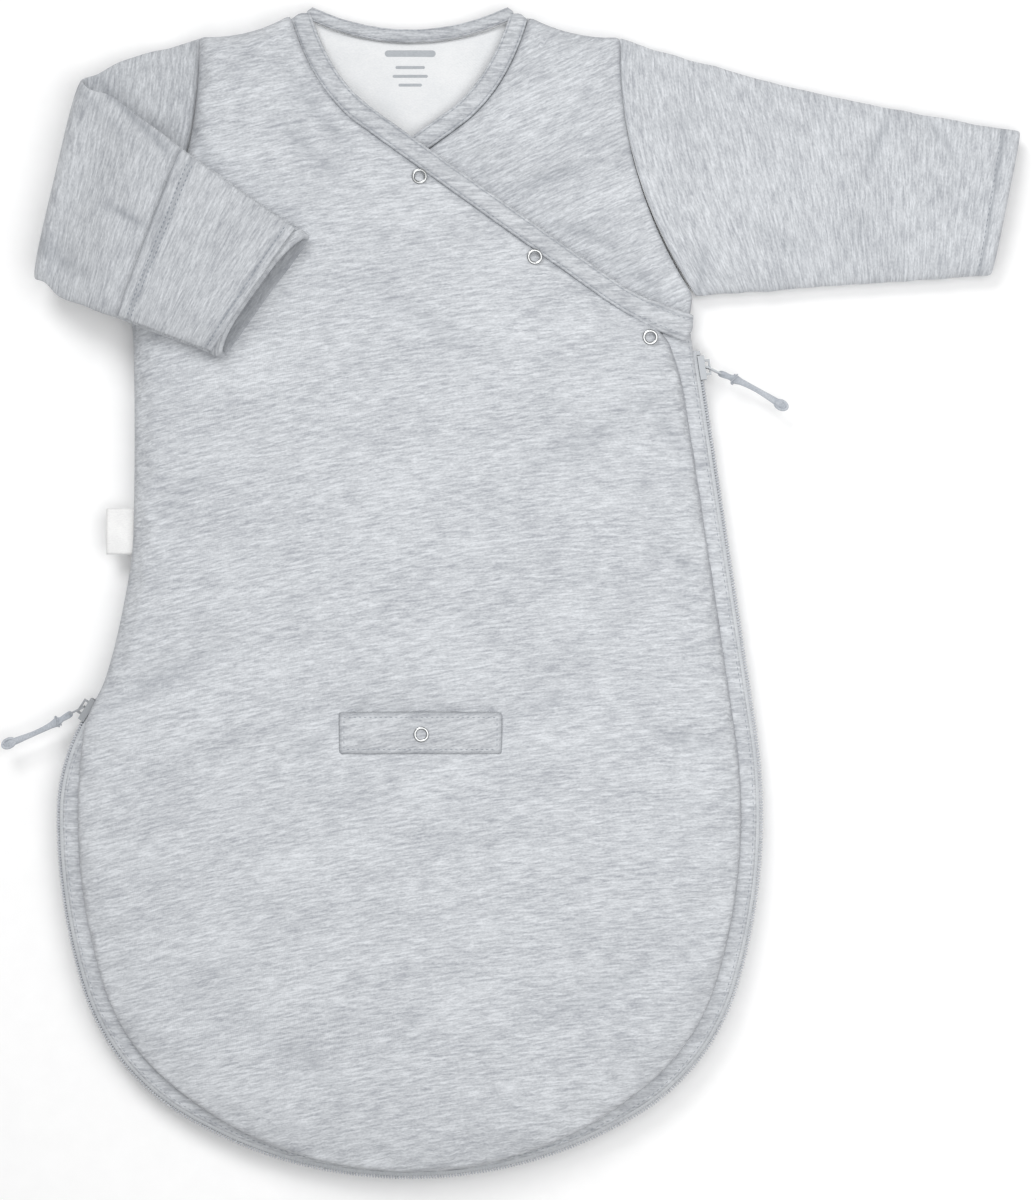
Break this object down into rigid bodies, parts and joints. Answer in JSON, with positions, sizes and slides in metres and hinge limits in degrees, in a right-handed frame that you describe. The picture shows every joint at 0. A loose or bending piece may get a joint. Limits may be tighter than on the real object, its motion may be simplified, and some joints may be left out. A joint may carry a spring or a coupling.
{
  "type": "baby sleeping bag",
  "caption": "Padded baby sleeping bag lying flat, with long sleeves, wrap-over chest with ring snaps, a zip round the hem and a harness slot under a snap patch.",
  "frame": {"origin": "on the flat back face, on the centre line, halfway between neck and hem", "axes": "+Y towards the neck, +Z out of the front, +X towards the side that opens (the wearer's left, at the right seen from the front)"},
  "size_m": [0.5179, 0.5961, 0.0449],
  "materials": {
    "melange_jersey": "grey melange cotton jersey, matt",
    "jersey_trim": "grey melange cotton jersey cut as binding, hem and facing",
    "cotton_lining": "white cotton jersey, matt",
    "polyester_wadding": "white polyester wadding",
    "zip_tape": "woven polyester zip tape",
    "zip_coil": "nylon zip coil",
    "pull_ribbon": "light grey woven ribbon",
    "woven_label": "white woven label, blank",
    "nickel": "polished nickel plate"
  },
  "bodies": {
    "bag": {"back_shell": "melange_jersey", "back_padding": "polyester_wadding", "back_lining": "cotton_lining", "back_neck_binding": "jersey_trim", "back_slot_welt": "jersey_trim", "back_strip": "jersey_trim", "zip_tape_back": "zip_tape", "zip_coil_back": "zip_coil", "zip_stops": "nickel", "side_label": "woven_label", "front_side_shell": "melange_jersey", "front_side_padding": "polyester_wadding", "front_side_lining": "cotton_lining", "wrap_binding_side": "jersey_trim", "front_side_strip": "jersey_trim", "zip_tape_front_side": "zip_tape", "zip_coil_front_side": "zip_coil", "under_front_shell": "melange_jersey", "under_front_padding": "polyester_wadding", "under_front_lining": "cotton_lining", "under_front_binding": "jersey_trim", "wrap_snap_studs": "nickel", "wrap_snap_stud_rings": "nickel", "right_upper_sleeve_shell": "melange_jersey", "right_upper_sleeve_padding": "polyester_wadding", "right_upper_sleeve_lining": "cotton_lining", "left_upper_sleeve_shell": "melange_jersey", "left_upper_sleeve_padding": "polyester_wadding", "left_upper_sleeve_lining": "cotton_lining"},
    "front_flap": {"front_shell": "melange_jersey", "front_padding": "polyester_wadding", "front_lining": "cotton_lining", "wrap_binding": "jersey_trim", "front_strip": "jersey_trim", "zip_tape_front": "zip_tape", "zip_coil_front": "zip_coil", "wrap_snap_caps": "nickel", "wrap_snap_sockets": "nickel", "front_slot_welt": "jersey_trim", "slot_snap_stud": "nickel", "slot_snap_ring": "nickel"},
    "slot_patch": {"slot_flap": "jersey_trim", "slot_snap_cap": "nickel", "slot_snap_socket": "nickel"},
    "right_zip_slider": {"right_slider": "nickel"},
    "right_zip_pull": {"right_pull_bail": "nickel", "right_pull_ribbon": "pull_ribbon"},
    "left_zip_slider": {"left_slider": "nickel"},
    "left_zip_pull": {"left_pull_bail": "nickel", "left_pull_ribbon": "pull_ribbon"},
    "right_forearm": {"right_forearm_shell": "melange_jersey", "right_forearm_padding": "polyester_wadding", "right_forearm_lining": "cotton_lining", "right_cuff_hem": "jersey_trim"},
    "right_mitt": {"right_mitt": "melange_jersey"},
    "left_forearm": {"left_forearm_shell": "melange_jersey", "left_forearm_padding": "polyester_wadding", "left_forearm_lining": "cotton_lining", "left_cuff_hem": "jersey_trim"},
    "left_mitt": {"left_mitt": "melange_jersey"}
  },
  "joints": [
    {"name": "front_opening", "type": "hinge", "parent": "bag", "child": "front_flap", "pos_m": [-0.043, 0, 0.027], "axis": [0, -1, 0], "range_deg": [0, 110]},
    {"name": "slot_patch_lift", "type": "hinge", "parent": "front_flap", "child": "slot_patch", "pos_m": [0.0059, -0.0831, 0.0293], "axis": [1, 0, 0], "range_deg": [0, 120]},
    {"name": "right_slider_travel", "type": "slide", "parent": "bag", "child": "right_zip_slider", "axis": [0.1495, -0.9888, 0], "range_m": [0, 0.172]},
    {"name": "right_pull_swing", "type": "hinge", "parent": "right_zip_slider", "child": "right_zip_pull", "pos_m": [0.15138, 0.1135, 0.0135], "axis": [0, 0, 1], "range_deg": [-45, 80]},
    {"name": "left_slider_travel", "type": "hinge", "parent": "bag", "child": "left_zip_slider", "pos_m": [-0.08, -0.115, 0.0135], "axis": [0, 0, 1], "range_deg": [0, 30]},
    {"name": "left_pull_swing", "type": "hinge", "parent": "left_zip_slider", "child": "left_zip_pull", "pos_m": [-0.16625, -0.05962, 0.0135], "axis": [0, 0, 1], "range_deg": [-110, 15]},
    {"name": "right_elbow", "type": "hinge", "parent": "bag", "child": "right_forearm", "pos_m": [0.18, 0.2085, 0.0185], "axis": [0.2113, -0.9774, 0], "range_deg": [0, 160]},
    {"name": "right_mitt_turn", "type": "hinge", "parent": "right_forearm", "child": "right_mitt", "pos_m": [0.30319, 0.19771, 0.0005], "axis": [-0.1668, -0.986, 0], "range_deg": [0, 180]},
    {"name": "left_elbow", "type": "hinge", "parent": "bag", "child": "left_forearm", "pos_m": [-0.18, 0.2085, 0.0225], "axis": [-0.2113, -0.9774, 0], "range_deg": [0, 180]},
    {"name": "left_mitt_turn", "type": "hinge", "parent": "left_forearm", "child": "left_mitt", "pos_m": [-0.07228, 0.14778, 0.0445], "axis": [0.5592, 0.829, 0], "range_deg": [0, 180]}
  ]
}
